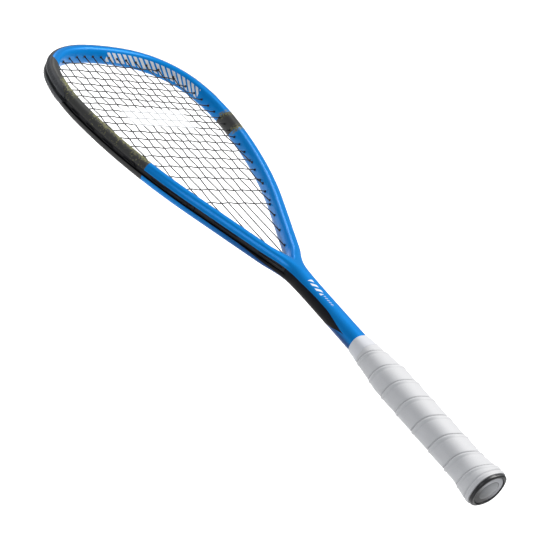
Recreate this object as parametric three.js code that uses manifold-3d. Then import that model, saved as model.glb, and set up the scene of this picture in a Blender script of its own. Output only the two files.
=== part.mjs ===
// Squash racket: one-piece graphite frame, bumper guard and grommet strips, two strings,
// handle pallets, cushion grip, butt cap and badge.
// Millimetres. The origin is the centre of the butt end, +Y runs along the shaft to the tip,
// +Z is square to the string bed, and the string bed lies in the plane z = 0.
import * as THREE from "three";
import { mergeVertices } from "three/addons/utils/BufferGeometryUtils.js";
import Module from "manifold-3d";

const wasm = await Module();
wasm.setup();

// ---------------------------------------------------------------- driving dimensions
const LENGTH = 686; // butt end to the outside of the bumper guard
const GAP = 0.3; // clearance kept between touching pieces
const DEGREE = Math.PI / 180;

// hoop tube: an upright rounded section swept round the head and down both legs
const TUBE_HALF_WIDTH = 6.2;
const TUBE_HALF_DEPTH = 10.3;
const TUBE_ROUNDNESS = 2.5;
// centreline of half the hoop from the tip: [radius, turn in degrees], then a straight leg
const HOOP_ARCS = [[230, 5.5], [108, 15], [73, 55.5], [184, 20], [478, 19.5]];
const LEG_LENGTH = 122;
const ARC_STEP = 7 * DEGREE;
const ARC_STEP_LENGTH = 34;

// shaft: [y, half width, half depth], flaring into the throat
const SHAFT_SECTIONS = [
  [5, 10, 9.7], [262, 10, 9.7], [276, 10.1, 10], [286, 10.6, 10.5],
  [297, 12, 10.5], [302.5, 10.7, 10.4], [307, 6.8, 9.6],
];
const SHAFT_WALL = 1.8;
const SHAFT_BORE_END = 268;

// outer groove that takes the grommet strips and the string loops
const GROOVE_HALF_WIDTH = 3;
const GROOVE_FLOOR = 3; // outward from the tube's centreline
const GROOVE_OPEN = 12; // past the tube's outer side

// strings
const STRING_RADIUS = 0.6;
const STRING_SIDES = 6;
const STRING_LEVEL = STRING_RADIUS + GAP / 2; // mains above the middle plane, crosses below it
const MAINS_PER_SIDE = 7;
const CROSSES = 18;
const HEAD_MIDDLE_Y = 560;

// grommets
const STRIP_HALF_WIDTH = 2.6;
const STRIP_FLOOR = GROOVE_FLOOR + GAP;
const STRIP_TOP = STRIP_FLOOR + 0.7;
const BARREL_RADIUS = 1.4;
const BARREL_BORE = 1.1;
const FRAME_HOLE = 2;
const HOLE_OVERRUN = 3;
const BARREL_SIDES = 6;
const BARREL_TIP = -7; // the barrel's end stands just inside the hoop
const BEND_OFFSET = -7.8; // where the string turns into the barrel
const LOOP_OFFSET = STRIP_TOP + GAP + STRING_RADIUS;
const LOOP_STEP = 6;
const LOOP_LEAD = 0.9; // run along the groove over which a string bends out of its barrel
const KNOT_RADIUS = 0.85;
const KNOT_SIDES = 8;
const KNOT_TAIL = 3;
const KNOT_LEVEL = STRING_LEVEL + 0.3;

// bumper guard: a channel in the groove with flanges over the tube's outer face
const BUMPER_HALF_LENGTH = 162;
const BUMPER_TOP = 7.8;
const BUMPER_CHANNEL = 2; // half width of the open channel over the strings
// the flange from the groove's mouth round the tube and back: [outward, z]
const BUMPER_FLANGE = [[6.5, 2.7], [6.3, 5.4], [5.4, 7.8], [4.7, 8.8], [6, 9.2], [7.2, 7.4], [7.8, 4.8]];
const SIDE_STRIP_END = 351;
const THROAT_STRIP_END = 463;
const GROOVE_END = 465;

// handle: [y, half width, half depth]
const HANDLE_ROUNDNESS = 2.4;
const GRIP_SECTIONS = [
  [3.3, 19.8, 17.6], [6, 20.5, 18.2], [10, 20.2, 17.9], [16, 19.2, 17], [22, 18.1, 16.1],
  [28, 17.2, 15.3], [60, 17.1, 15.2], [141, 17.1, 15.2], [152, 15.6, 14.1], [164, 14, 12.9],
  [175.6, 12.45, 11.85],
];
const CORE_SECTIONS = [
  [3.3, 17.9, 15.8], [10, 17.9, 15.8], [16, 17, 14.9], [22, 16, 14], [28, 15.1, 13.2],
  [141, 15.1, 13.2], [152, 13.6, 12.2], [164, 11.7, 11.1], [168, 11.3, 10.8],
];
const HANDLE_SIDES = 20;
const TUBE_SIDES = 16;
const BORE_SIDES = 12;
const BADGE_SIDES = 32;
const SKIRT_END = 26;
const SKIRT_BORE = [14.5, 12.7];
const HANDLE_REACH = 30; // wider than any part of the handle
const PALLET_START = 5;
const PALLET_END = 167.7;
const TAPE_SECTIONS = [[175.9, 12.3, 11.7], [183, 11.5, 11.1], [190.5, 10.8, 10.5]];
const CAP_RIM = [18.8, 17.2];
const CAP_PLATE = 3;
const CAP_CHAMFER = 0.8;
const CAP_SKIRT_START = 3.3;
const BADGE_RIM = [16.2, 14.6];
const BADGE_FLAT = [14.4, 12.8];
const BADGE_DEPTH = 1.4;
const BADGE_BEVEL = 0.45;
const STAPLE_Y = 14;
const STAPLE_CROWN = 8;
const STAPLE_WIRE = 0.6;
const STAPLE_REACH = 4.6;
const STAPLE_TOP = 16.9;
const STAPLE_CLEARANCE = 3; // its slot is open this many gaps above the crown
const PLUG_END = 34;

// ---------------------------------------------------------------- centreline of the hoop
const arcLength = ([radius, turn]) => radius * turn * DEGREE;
const ARCS_LENGTH = HOOP_ARCS.reduce((sum, arc) => sum + arcLength(arc), 0);
const HOOP_HALF = ARCS_LENGTH + LEG_LENGTH;
const TIP_Y = LENGTH - BUMPER_TOP;

// A point of the centreline at signed distance s from the tip, positive to +X,
// with its heading; offset moves the point outward from the tube's centreline.
function hoopPoint(s, offset = 0) {
  const side = Math.sign(s) || 1;
  let left = Math.abs(s);
  let heading = 0;
  let x = 0;
  let y = TIP_Y;
  for (const [radius, turn] of HOOP_ARCS) {
    const next = heading + Math.min(turn * DEGREE, left / radius);
    x += radius * (Math.sin(next) - Math.sin(heading));
    y += radius * (Math.cos(next) - Math.cos(heading));
    left -= radius * (next - heading);
    heading = next;
  }
  x += left * Math.cos(heading) + offset * Math.sin(heading);
  y += -left * Math.sin(heading) + offset * Math.cos(heading);
  return { s, x: side * x, y, nx: side * Math.sin(heading), ny: Math.cos(heading) };
}

// Distances along the centreline at which every swept piece has a ring.
function hoopStations() {
  const half = [];
  let start = 0;
  for (const arc of HOOP_ARCS) {
    const length = arcLength(arc);
    const steps = Math.ceil(Math.max(arc[1] * DEGREE / ARC_STEP, length / ARC_STEP_LENGTH));
    for (let i = 1; i <= steps; i++) {
      half.push(start + length * i / steps);
    }
    start += length;
  }
  half.push(HOOP_HALF);
  return [...half.map((s) => -s).reverse(), 0, ...half];
}
const STATIONS = hoopStations();

function stationsBetween(from, to) {
  return [from, ...STATIONS.filter((s) => s > from + 1 && s < to - 1), to];
}

// ---------------------------------------------------------------- geometry helpers
// A curve through listed points, one ring of the sweep at each of them.
class Route extends THREE.Curve {
  constructor(points, tangents) {
    super();
    this.points = points;
    this.tangents = tangents;
  }

  getPointAt(u, target = new THREE.Vector3()) {
    return target.copy(this.points[Math.round(u * (this.points.length - 1))]);
  }

  getTangentAt(u, target = new THREE.Vector3()) {
    return target.copy(this.tangents[Math.round(u * (this.points.length - 1))]);
  }
}

function sweep(section, points, tangents) {
  const route = new Route(points, tangents);
  const options = { steps: points.length - 1, extrudePath: route, bevelEnabled: false };
  return new THREE.ExtrudeGeometry(new THREE.Shape(section), options);
}

// A section of [outward, z] points swept along the hoop from one distance to another.
function sweepHoop(outline, from, to) {
  const section = outline.map(([outward, z]) => new THREE.Vector2(-z, outward));
  const places = stationsBetween(from, to).map((s) => hoopPoint(s));
  const points = places.map(({ x, y }) => new THREE.Vector3(x, y, 0));
  const tangents = places.map(({ nx, ny }) => new THREE.Vector3(ny, -nx, 0));
  return sweep(section, points, tangents);
}

function roundedOutline(halfWidth, halfDepth, roundness, sides) {
  const outline = [];
  for (let i = 0; i < sides; i++) {
    const angle = 2 * Math.PI * (i + 0.5) / sides;
    const c = Math.cos(angle);
    const s = Math.sin(angle);
    const x = Math.sign(c) * Math.abs(c) ** (2 / roundness) * halfWidth;
    const z = Math.sign(s) * Math.abs(s) ** (2 / roundness) * halfDepth;
    outline.push([x, z]);
  }
  return outline;
}

// A closed solid through rounded sections [y, half width, half depth] along +Y.
function loft(sections, roundness = HANDLE_ROUNDNESS, sides = HANDLE_SIDES, grow = 0) {
  const vertices = [];
  const faces = [];
  sections.forEach(([y, halfWidth, halfDepth], level) => {
    for (const [x, z] of roundedOutline(halfWidth + grow, halfDepth + grow, roundness, sides)) {
      vertices.push(x, y, z);
    }
    for (let i = 0; level > 0 && i < sides; i++) {
      const next = (i + 1) % sides;
      const low = (level - 1) * sides;
      const high = level * sides;
      faces.push(low + i, high + i, high + next, low + i, high + next, low + next);
    }
  });
  const top = (sections.length - 1) * sides;
  for (let i = 1; i < sides - 1; i++) {
    faces.push(0, i, i + 1, top, top + i + 1, top + i);
  }
  const geometry = new THREE.BufferGeometry();
  geometry.setAttribute("position", new THREE.Float32BufferAttribute(vertices, 3));
  geometry.setIndex(faces);
  return geometry;
}

// A round rod of the given radius from one point to another.
function rod(from, to, radius, sides) {
  const axis = new THREE.Vector3().subVectors(to, from);
  const geometry = new THREE.CylinderGeometry(radius, radius, axis.length(), sides);
  const up = new THREE.Vector3(0, 1, 0);
  geometry.applyQuaternion(new THREE.Quaternion().setFromUnitVectors(up, axis.clone().normalize()));
  return geometry.translate(...new THREE.Vector3().addVectors(from, to).multiplyScalar(0.5));
}

function box(low, high) {
  const size = high.map((value, i) => value - low[i]);
  const middle = high.map((value, i) => (value + low[i]) / 2);
  return new THREE.BoxGeometry(...size).translate(...middle);
}

function toSolid(geometry) {
  const plain = geometry.clone();
  plain.deleteAttribute("normal");
  plain.deleteAttribute("uv");
  const merged = mergeVertices(plain, 1e-4);
  const vertProperties = new Float32Array(merged.attributes.position.array);
  const triVerts = new Uint32Array(merged.index.array);
  return new wasm.Manifold(new wasm.Mesh({ numProp: 3, vertProperties, triVerts }));
}

function join(geometries) {
  return geometries.map(toSolid).reduce((whole, piece) => whole.add(piece));
}

function toGeometry(solid) {
  const mesh = solid.getMesh();
  const geometry = new THREE.BufferGeometry();
  geometry.setAttribute("position", new THREE.BufferAttribute(mesh.vertProperties, 3));
  geometry.setIndex(new THREE.BufferAttribute(mesh.triVerts, 1));
  return geometry;
}

// ---------------------------------------------------------------- string pattern
// The spacing widens away from the middle of the head.
const mainX = (i) => 5.3 + 11.1 * i + 0.13 * i * i;

function crossY(row) {
  let y = 655.3;
  for (let i = 0; i < row; i++) {
    y -= 11.84 + 0.097 * (i - 5.66) ** 2;
  }
  return y;
}

// Distance along the right half of the hoop where a ray meets the curve at an offset.
function meet(x, y, dx, dy, offset) {
  let previous = null;
  for (let s = 0; s <= HOOP_HALF; s++) {
    const point = hoopPoint(s, offset);
    const across = (point.x - x) * dy - (point.y - y) * dx;
    const ahead = (point.x - x) * dx + (point.y - y) * dy > 0;
    if (ahead && previous !== null && Math.sign(across) !== Math.sign(previous)) {
      return s - across / (across - previous);
    }
    previous = ahead ? across : null;
  }
  throw new Error(`string at ${x}, ${y} misses the hoop`);
}

// The end of a run that starts at x, y on the right half and travels along dx, dy.
// Its barrel points halfway between the string's direction and the tube's outward normal.
function stringEnd(x, y, dx, dy, z, side) {
  const bend = hoopPoint(meet(x, y, dx, dy, BEND_OFFSET), BEND_OFFSET);
  const axis = new THREE.Vector2(dx + bend.nx, dy + bend.ny).normalize();
  const exitAt = (offset) => {
    const s = meet(bend.x, bend.y, axis.x, axis.y, offset);
    return hoopPoint(s, offset);
  };
  const exit = exitAt(LOOP_OFFSET);
  return {
    s: side * exit.s,
    z,
    bend: new THREE.Vector3(side * bend.x, bend.y, z),
    axis: new THREE.Vector3(side * axis.x, axis.y, 0),
    length: Math.hypot(exit.x - bend.x, exit.y - bend.y),
  };
}

function mainEnd(i, side, up) {
  return stringEnd(mainX(i), HEAD_MIDDLE_Y, 0, up, STRING_LEVEL, side);
}

function crossEnd(row, side) {
  return stringEnd(0, crossY(row), 1, 0, -STRING_LEVEL, side);
}

const along = (end, distance) => end.bend.clone().addScaledVector(end.axis, distance);

// Points of a loop in the groove between two neighbouring ends, both bends included.
function loopPoints(from, to) {
  const direction = Math.sign(to.s - from.s);
  const first = from.s + direction * LOOP_LEAD;
  const last = to.s - direction * LOOP_LEAD;
  const steps = Math.max(1, Math.ceil(Math.abs(last - first) / LOOP_STEP));
  const points = [from.bend, along(from, from.length - LOOP_LEAD)];
  for (let i = 0; i <= steps; i++) {
    const place = hoopPoint(first + (last - first) * i / steps, LOOP_OFFSET);
    points.push(new THREE.Vector3(place.x, place.y, from.z));
  }
  points.push(along(to, to.length - LOOP_LEAD), to.bend);
  return points;
}

// The tied end: out of the barrel and a short tail along the groove.
function tailPoints(end, direction) {
  const points = [end.bend, along(end, end.length - LOOP_LEAD)];
  for (const distance of [LOOP_LEAD, KNOT_TAIL]) {
    const place = hoopPoint(end.s + direction * distance, LOOP_OFFSET);
    points.push(new THREE.Vector3(place.x, place.y, end.z));
  }
  return points;
}

function stringSolid(points) {
  const tangents = points.map((point, i) => {
    const before = new THREE.Vector3();
    const after = new THREE.Vector3();
    if (i > 0) {
      before.subVectors(point, points[i - 1]).normalize();
    }
    if (i < points.length - 1) {
      after.subVectors(points[i + 1], point).normalize();
    }
    return before.add(after).normalize();
  });
  const circle = roundedOutline(STRING_RADIUS, STRING_RADIUS, 2, STRING_SIDES);
  return sweep(circle.map(([x, y]) => new THREE.Vector2(x, y)), points, tangents);
}

// One string makes all the mains: it starts at the outermost left main's lower end, goes up
// and down towards the middle, crosses over at the tip and mirrors itself on the right.
function mainsRoute() {
  const right = [];
  for (let i = 0; i < MAINS_PER_SIDE; i++) {
    const down = i % 2 === 0;
    right.push({ start: mainEnd(i, 1, down ? 1 : -1), finish: mainEnd(i, 1, down ? -1 : 1) });
  }
  const points = loopPoints(mainEnd(0, -1, 1), right[0].start).slice(3);
  for (let i = 0; i < MAINS_PER_SIDE - 1; i++) {
    points.push(...loopPoints(right[i].finish, right[i + 1].start));
  }
  points.push(...tailPoints(right[MAINS_PER_SIDE - 1].finish, -1));
  const left = points.map((point) => new THREE.Vector3(-point.x, point.y, point.z)).reverse();
  return [...left, ...points];
}

// The other string makes all the crosses, from the tip down to the throat.
function crossesRoute() {
  const points = tailPoints(crossEnd(0, -1), 1).reverse();
  let side = 1;
  for (let row = 0; row < CROSSES - 1; row++) {
    points.push(...loopPoints(crossEnd(row, side), crossEnd(row + 1, side)));
    side = -side;
  }
  points.push(...tailPoints(crossEnd(CROSSES - 1, side), -side));
  return points;
}

function allEnds() {
  const ends = [];
  for (const side of [-1, 1]) {
    for (let i = 0; i < MAINS_PER_SIDE; i++) {
      ends.push(mainEnd(i, side, 1), mainEnd(i, side, -1));
    }
    for (let row = 0; row < CROSSES; row++) {
      ends.push(crossEnd(row, side));
    }
  }
  return ends;
}
const STRING_ENDS = allEnds();

// ---------------------------------------------------------------- frame and its guards
function holeRod(end, radius) {
  return rod(along(end, -HOLE_OVERRUN), along(end, end.length + HOLE_OVERRUN), radius, BARREL_SIDES);
}

// A length of the shaft's section, grown or shrunk all round.
function shaftBetween(from, to, grow, sides = TUBE_SIDES) {
  const [, width, depth] = SHAFT_SECTIONS[0];
  return loft([[from, width, depth], [to, width, depth]], TUBE_ROUNDNESS, sides, grow);
}

function frame() {
  const tube = roundedOutline(TUBE_HALF_WIDTH, TUBE_HALF_DEPTH, TUBE_ROUNDNESS, TUBE_SIDES);
  const hoop = sweepHoop(tube, -HOOP_HALF, HOOP_HALF);
  const shaft = loft(SHAFT_SECTIONS, TUBE_ROUNDNESS, TUBE_SIDES);
  const slot = channel(GROOVE_FLOOR, GROOVE_OPEN, GROOVE_HALF_WIDTH);
  const groove = sweepHoop(slot, -GROOVE_END, GROOVE_END);
  const bore = shaftBetween(0, SHAFT_BORE_END, -SHAFT_WALL, BORE_SIDES);
  const holes = join(STRING_ENDS.map((end) => holeRod(end, FRAME_HOLE)));
  const body = join([hoop, shaft]).subtract(toSolid(groove)).subtract(toSolid(bore));
  return toGeometry(body.subtract(holes));
}

function channel(low, high, halfWidth) {
  return [[low, -halfWidth], [high, -halfWidth], [high, halfWidth], [low, halfWidth]];
}

// A base swept along the groove with a barrel for each string end that it covers.
function grommetStrip(base, from, to) {
  const ends = STRING_ENDS.filter(({ s }) => s > from && s < to);
  const barrels = ends.map((end) => {
    const { nx, ny } = hoopPoint(end.s);
    const start = (BARREL_TIP - BEND_OFFSET) / Math.abs(end.axis.x * nx + end.axis.y * ny);
    const stop = end.length - (LOOP_OFFSET - STRIP_FLOOR);
    return rod(along(end, start), along(end, stop), BARREL_RADIUS, BARREL_SIDES);
  });
  const strip = join([sweepHoop(base, from, to), ...barrels]);
  return toGeometry(strip.subtract(join(ends.map((end) => holeRod(end, BARREL_BORE)))));
}

// The guard's section, one side: floor of the channel, its wall, and the flange over the tube.
function bumperOutline() {
  const half = [
    [STRIP_FLOOR, GROOVE_HALF_WIDTH - GAP], ...BUMPER_FLANGE, [BUMPER_TOP, BUMPER_CHANNEL],
    [STRIP_TOP, BUMPER_CHANNEL],
  ];
  const other = half.map(([outward, z]) => [outward, -z]).reverse();
  return [...half, ...other];
}

const stripBase = channel(STRIP_FLOOR, STRIP_TOP, STRIP_HALF_WIDTH);

function knot(end, direction) {
  const away = direction * (KNOT_TAIL + GAP + KNOT_RADIUS);
  const place = hoopPoint(end.s + away, LOOP_OFFSET + KNOT_RADIUS - STRING_RADIUS);
  const ball = new THREE.SphereGeometry(KNOT_RADIUS, KNOT_SIDES, KNOT_SIDES - 2);
  return ball.translate(place.x, place.y, Math.sign(end.z) * KNOT_LEVEL);
}

// ---------------------------------------------------------------- handle
const coreAt = (y) => {
  const next = Math.max(1, CORE_SECTIONS.findIndex(([level]) => level >= y));
  const [y1, w1, d1] = CORE_SECTIONS[next];
  const [y0, w0, d0] = CORE_SECTIONS[next - 1];
  const t = (y - y0) / (y1 - y0);
  return [y, w0 + (w1 - w0) * t, d0 + (d1 - d0) * t];
};

function coreBetween(from, to) {
  return [coreAt(from), ...CORE_SECTIONS.filter(([y]) => y > from && y < to), coreAt(to)];
}

function staple(side, grow) {
  const half = STAPLE_CROWN / 2;
  const low = STAPLE_Y - STAPLE_WIRE / 2 - grow;
  const high = STAPLE_Y + STAPLE_WIRE / 2 + grow;
  const bar = (x0, x1, z0, z1) => {
    const xs = [side * x0, side * x1].sort((a, b) => a - b);
    return box([xs[0], low, z0], [xs[1], high, z1]);
  };
  const top = STAPLE_TOP + grow * STAPLE_CLEARANCE;
  const foot = STAPLE_TOP - STAPLE_REACH - grow;
  return join([
    bar(STAPLE_TOP - STAPLE_WIRE - grow, top, -half - grow, half + grow),
    bar(foot, top, -half - grow, -half + STAPLE_WIRE + grow),
    bar(foot, top, half - STAPLE_WIRE - grow, half + grow),
  ]);
}

function palletHalf(side) {
  const [width, depth] = SKIRT_BORE.map((value) => value - GAP);
  const neck = loft([[PALLET_START, width, depth], [SKIRT_END + GAP + 1, width, depth]]);
  const body = loft(coreBetween(SKIRT_END + GAP, PALLET_END));
  const bore = shaftBetween(0, PALLET_END + 1, GAP);
  const near = side * GAP / 2;
  const far = side * HANDLE_REACH;
  const low = [Math.min(near, far), 0, -HANDLE_REACH];
  const keep = box(low, [Math.max(near, far), PALLET_END + 1, HANDLE_REACH]);
  const half = join([neck, body]).subtract(toSolid(bore)).intersect(toSolid(keep));
  return toGeometry(half.subtract(staple(side, GAP)));
}

function buttCap() {
  const [rimWidth, rimDepth] = CAP_RIM;
  const plate = loft([
    [0, rimWidth - CAP_CHAMFER, rimDepth - CAP_CHAMFER],
    [CAP_CHAMFER, rimWidth, rimDepth],
    [CAP_PLATE, rimWidth, rimDepth],
  ]);
  const core = coreBetween(CAP_SKIRT_START, SKIRT_END);
  const skirt = loft([[CAP_PLATE - 1, ...core[0].slice(1)], ...core.slice(1)]);
  const bore = loft([[CAP_PLATE, ...SKIRT_BORE], [SKIRT_END + 1, ...SKIRT_BORE]]);
  const recess = loft([[-1, ...BADGE_RIM], [BADGE_DEPTH + GAP, ...BADGE_RIM]], 2, BADGE_SIDES, GAP);
  const cap = join([plate, skirt]).subtract(toSolid(bore)).subtract(toSolid(recess));
  return toGeometry(cap.subtract(staple(1, GAP)).subtract(staple(-1, GAP)));
}

function buttBadge() {
  const sections = [[0, ...BADGE_FLAT], [BADGE_BEVEL, ...BADGE_RIM], [BADGE_DEPTH, ...BADGE_RIM]];
  return loft(sections, 2, BADGE_SIDES);
}

function cushionGrip() {
  const core = [[0, ...CORE_SECTIONS[0].slice(1)], ...CORE_SECTIONS.slice(1)];
  const handle = toSolid(loft(core, HANDLE_ROUNDNESS, HANDLE_SIDES, GAP));
  const shaft = toSolid(shaftBetween(PALLET_END - 1, TAPE_SECTIONS[0][0] + 1, GAP));
  return toGeometry(toSolid(loft(GRIP_SECTIONS)).subtract(handle).subtract(shaft));
}

function finishingTape() {
  const start = TAPE_SECTIONS[0][0];
  const end = TAPE_SECTIONS[TAPE_SECTIONS.length - 1][0];
  const shaft = toSolid(shaftBetween(start - 1, end + 1, GAP));
  return toGeometry(toSolid(loft(TAPE_SECTIONS, TUBE_ROUNDNESS, TUBE_SIDES)).subtract(shaft));
}

function foamPlug() {
  return shaftBetween(SHAFT_SECTIONS[0][0], PLUG_END, -SHAFT_WALL - GAP, BORE_SIDES);
}

// ---------------------------------------------------------------- finishes and assembly
function finish(color, roughness, metalness = 0) {
  return new THREE.MeshStandardMaterial({ color, roughness, metalness });
}
const BLUE_PAINT = finish(0x0a78dc, 0.22);
const BLACK_NYLON = finish(0x17181a, 0.5);
const BLACK_STRING = finish(0x1b1c1f, 0.4);
const PALLET_FOAM = finish(0xc9b68c, 0.85);
const BLACK_PLASTIC = finish(0x141517, 0.35);
const SILVER_BADGE = finish(0x8f969c, 0.3, 0.9);
const STEEL = finish(0xb9bcc0, 0.35, 1);
const WHITE_CUSHION = finish(0xeeeff1, 0.55);
const WHITE_TAPE = finish(0xf2f3f6, 0.35);
const GREY_FOAM = finish(0x55585c, 0.9);

const racket = new THREE.Group();

function add(name, geometry, material) {
  const mesh = new THREE.Mesh(geometry, material);
  mesh.name = name;
  racket.add(mesh);
}

add("frame", frame(), BLUE_PAINT);
const guard = grommetStrip(bumperOutline(), -BUMPER_HALF_LENGTH, BUMPER_HALF_LENGTH);
add("bumper_guard", guard, BLACK_NYLON);
const SIDE_STRIP_START = BUMPER_HALF_LENGTH + 1;
const THROAT_STRIP_START = SIDE_STRIP_END + 1;
const grommets = {
  right_side_grommets: [SIDE_STRIP_START, SIDE_STRIP_END],
  left_side_grommets: [-SIDE_STRIP_END, -SIDE_STRIP_START],
  right_throat_grommets: [THROAT_STRIP_START, THROAT_STRIP_END],
  left_throat_grommets: [-THROAT_STRIP_END, -THROAT_STRIP_START],
};
for (const [name, [from, to]] of Object.entries(grommets)) {
  add(name, grommetStrip(stripBase, from, to), BLACK_NYLON);
}
add("mains_string", stringSolid(mainsRoute()), BLACK_STRING);
add("crosses_string", stringSolid(crossesRoute()), BLACK_STRING);
const outerMain = MAINS_PER_SIDE - 1;
const lastSide = CROSSES % 2 === 0 ? -1 : 1;
add("right_mains_knot", knot(mainEnd(outerMain, 1, -1), -1), BLACK_STRING);
add("left_mains_knot", knot(mainEnd(outerMain, -1, -1), 1), BLACK_STRING);
add("upper_crosses_knot", knot(crossEnd(0, -1), 1), BLACK_STRING);
add("lower_crosses_knot", knot(crossEnd(CROSSES - 1, lastSide), -lastSide), BLACK_STRING);
add("right_pallet", palletHalf(1), PALLET_FOAM);
add("left_pallet", palletHalf(-1), PALLET_FOAM);
add("butt_cap", buttCap(), BLACK_PLASTIC);
add("butt_badge", buttBadge(), SILVER_BADGE);
add("right_cap_staple", toGeometry(staple(1, 0)), STEEL);
add("left_cap_staple", toGeometry(staple(-1, 0)), STEEL);
add("handle_plug", foamPlug(), GREY_FOAM);
add("cushion_grip", cushionGrip(), WHITE_CUSHION);
add("finishing_tape", finishingTape(), WHITE_TAPE);

export default racket;
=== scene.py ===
# %% [markdown]
# A squash racket: one lacquered graphite frame, a nylon guard and grommet strips in its outer
# groove, two strings, and a foam handle under a wrapped cushion grip. The engineering model
# already holds every piece at its size. This lesson gives the pieces their finished surfaces.

# %% Load the engineering model
import functools
import math

import bmesh
import bpy
from mathutils import Matrix, Vector


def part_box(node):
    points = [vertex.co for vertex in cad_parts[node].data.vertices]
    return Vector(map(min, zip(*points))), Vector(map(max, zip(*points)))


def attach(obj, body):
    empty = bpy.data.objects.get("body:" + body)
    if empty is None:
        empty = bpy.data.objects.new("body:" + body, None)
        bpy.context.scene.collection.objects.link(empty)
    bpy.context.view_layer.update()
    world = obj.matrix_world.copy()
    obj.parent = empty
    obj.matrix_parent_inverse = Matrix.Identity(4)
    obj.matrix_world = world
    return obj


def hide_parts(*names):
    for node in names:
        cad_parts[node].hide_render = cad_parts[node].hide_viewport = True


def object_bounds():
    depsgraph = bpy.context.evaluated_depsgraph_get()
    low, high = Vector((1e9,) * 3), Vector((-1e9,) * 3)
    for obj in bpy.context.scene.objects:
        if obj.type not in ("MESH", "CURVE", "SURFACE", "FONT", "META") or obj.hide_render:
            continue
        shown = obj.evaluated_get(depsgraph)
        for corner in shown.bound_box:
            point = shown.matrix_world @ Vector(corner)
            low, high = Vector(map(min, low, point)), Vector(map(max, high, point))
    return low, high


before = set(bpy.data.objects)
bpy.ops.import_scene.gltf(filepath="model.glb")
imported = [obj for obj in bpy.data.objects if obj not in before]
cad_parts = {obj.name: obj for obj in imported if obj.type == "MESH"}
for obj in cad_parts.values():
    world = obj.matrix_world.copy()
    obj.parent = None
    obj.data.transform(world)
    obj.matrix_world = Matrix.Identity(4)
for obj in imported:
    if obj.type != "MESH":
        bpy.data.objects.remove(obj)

scene = bpy.context.scene
cad_low, cad_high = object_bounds()
MM = 0.001
print("racket size, mm:", [round(v / MM, 1) for v in cad_high - cad_low])

# %% [markdown]
# The camera stands off the butt end, to the left and above, and is rolled so that the racket
# runs from the lower right corner to the upper left one. A long lens keeps the head and the
# handle at nearly one scale. The place is worked out from the point it looks at, two angles
# and a distance, which is easier to adjust than a matrix.

# %% Camera
LOOK_AT = Vector((-28.0, 292.2, 0.0)) * MM
CAMERA_DISTANCE = 1365.2 * MM
CAMERA_AZIMUTH = math.radians(-50.9045)
CAMERA_ELEVATION = math.radians(28.0181)
CAMERA_ROLL = math.radians(-27.9307)
CAMERA_LENS = 95.12

back = Vector((
    math.sin(CAMERA_AZIMUTH) * math.cos(CAMERA_ELEVATION),
    -math.cos(CAMERA_AZIMUTH) * math.cos(CAMERA_ELEVATION),
    math.sin(CAMERA_ELEVATION),
))
level_right = Vector((0, 0, 1)).cross(back).normalized()
level_up = back.cross(level_right)
right = level_right * math.cos(CAMERA_ROLL) - level_up * math.sin(CAMERA_ROLL)
up = level_up * math.cos(CAMERA_ROLL) + level_right * math.sin(CAMERA_ROLL)
camera = bpy.data.objects.new("camera", bpy.data.cameras.new("camera"))
camera.data.lens = CAMERA_LENS
camera.data.sensor_width = 36.0
camera.data.clip_start = 0.01
camera.data.clip_end = 20.0
camera.matrix_world = Matrix.Translation(LOOK_AT + back * CAMERA_DISTANCE) @ Matrix(
    (right, up, back)).transposed().to_4x4()
scene.collection.objects.link(camera)
scene.camera = camera
print("camera stands at, mm:", [round(v / MM) for v in camera.matrix_world.translation])

# %% [markdown]
# The studio is a pale floor far below the racket, so that its shadow spreads out to nothing,
# and wide soft lights: a key light over the right side, a cooler fill on the left, and a strip
# beyond the tip that draws long highlights along the lacquer.

# %% Floor and lights
FLOOR_LEVEL = -0.9
FLOOR_REACH = 9.0
RACKET_MIDDLE = (cad_low + cad_high) / 2


def area_light(name, place, size, power, colour, straight_down=False):
    """A round light that faces the middle of the racket, or the floor."""
    lamp = bpy.data.objects.new(name, bpy.data.lights.new(name, "AREA"))
    lamp.data.shape = "DISK"
    lamp.data.size = size
    lamp.data.energy = power
    lamp.data.color = colour
    lamp.location = place
    aim = Vector((0, 0, -1)) if straight_down else RACKET_MIDDLE - Vector(place)
    lamp.rotation_mode = "QUATERNION"
    lamp.rotation_quaternion = aim.to_track_quat("-Z", "Y")
    scene.collection.objects.link(lamp)


area_light("key_light", (1.3, 0.3, 1.9), 1.5, 58, (1.0, 0.99, 0.975))
area_light("fill_light", (-1.9, -0.2, 1.0), 1.4, 13, (0.93, 0.96, 1.0))
area_light("tip_light", (0.2, 2.6, 1.3), 1.2, 24, (1.0, 1.0, 1.0))
area_light("floor_light", (2.5, 2.0, FLOOR_LEVEL + 0.4), 5.8, 72, (1.0, 1.0, 1.0), straight_down=True)

world = bpy.data.worlds.new("studio")
world.use_nodes = True
world.node_tree.nodes["Background"].inputs["Color"].default_value = (0.95, 0.97, 1.0, 1)
world.node_tree.nodes["Background"].inputs["Strength"].default_value = 0.27
scene.world = world
scene.view_settings.view_transform = "Standard"

floor_mesh = bpy.data.meshes.new("floor")
floor_mesh.from_pydata(
    [(x * FLOOR_REACH, y * FLOOR_REACH, FLOOR_LEVEL) for x, y in ((-1, -1), (1, -1), (1, 1), (-1, 1))],
    [], [(0, 1, 2, 3)])
floor = bpy.data.objects.new("floor", floor_mesh)
scene.collection.objects.link(floor)

# %% [markdown]
# Every material is a small network of nodes. Writing each node out takes three lines, so this
# helper places a node and joins its sockets in one. A value that is a socket is linked, and
# a value that is a number is set.

# %% A short hand for shader nodes


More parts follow.
